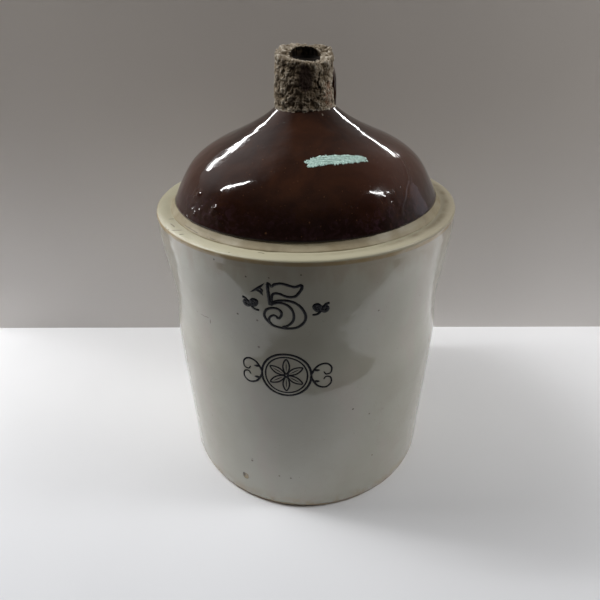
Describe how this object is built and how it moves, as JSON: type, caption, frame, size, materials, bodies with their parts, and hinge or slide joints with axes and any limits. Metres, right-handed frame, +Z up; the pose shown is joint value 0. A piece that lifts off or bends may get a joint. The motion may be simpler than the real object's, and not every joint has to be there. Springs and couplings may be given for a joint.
{
  "type": "stoneware shoulder jug",
  "caption": "Straight-sided stoneware jug with a recessed domed top, short crusted neck, strap handle and stamped front marks.",
  "frame": {"origin": "centre of the foot, on the surface that the jug stands on", "axes": "+Z up along the jug's axis, -Y towards the front marks, +Y towards the strap handle, +X to the right when facing the marks"},
  "size_m": [0.3029, 0.303, 0.4518],
  "materials": {
    "stoneware_clay": "bare fired stoneware, fine grog, matt",
    "bare_foot_clay": "smoothed luting clay under a thin wash of glaze, satin",
    "cream_glaze": "glossy cream-white glaze with pinholes, faint crackle and iron specks",
    "brown_glaze": "deep glossy brown slip glaze with runs and small blisters",
    "lining_glaze": "thin brown slip lining, satin",
    "mineral_crust": "rough grey-tan mineral crust, pitted, matt",
    "mint_paint": "thin dried paint, ragged edge, matt",
    "stamp_ink": "blue-black stamped ink fired under a clear gloss"
  },
  "bodies": {
    "root": {"crock_body": "stoneware_clay", "dome_top": "stoneware_clay", "neck": "stoneware_clay", "strap_handle": "stoneware_clay", "luting_coil": "bare_foot_clay", "body_glaze": "cream_glaze", "dome_glaze": "brown_glaze", "lining_glaze": "lining_glaze", "spout_crust": "mineral_crust", "paint_streak": "mint_paint", "capacity_mark": "stamp_ink", "left_floret": "stamp_ink", "right_floret": "stamp_ink", "front_rosette": "stamp_ink"}
  },
  "joints": []
}
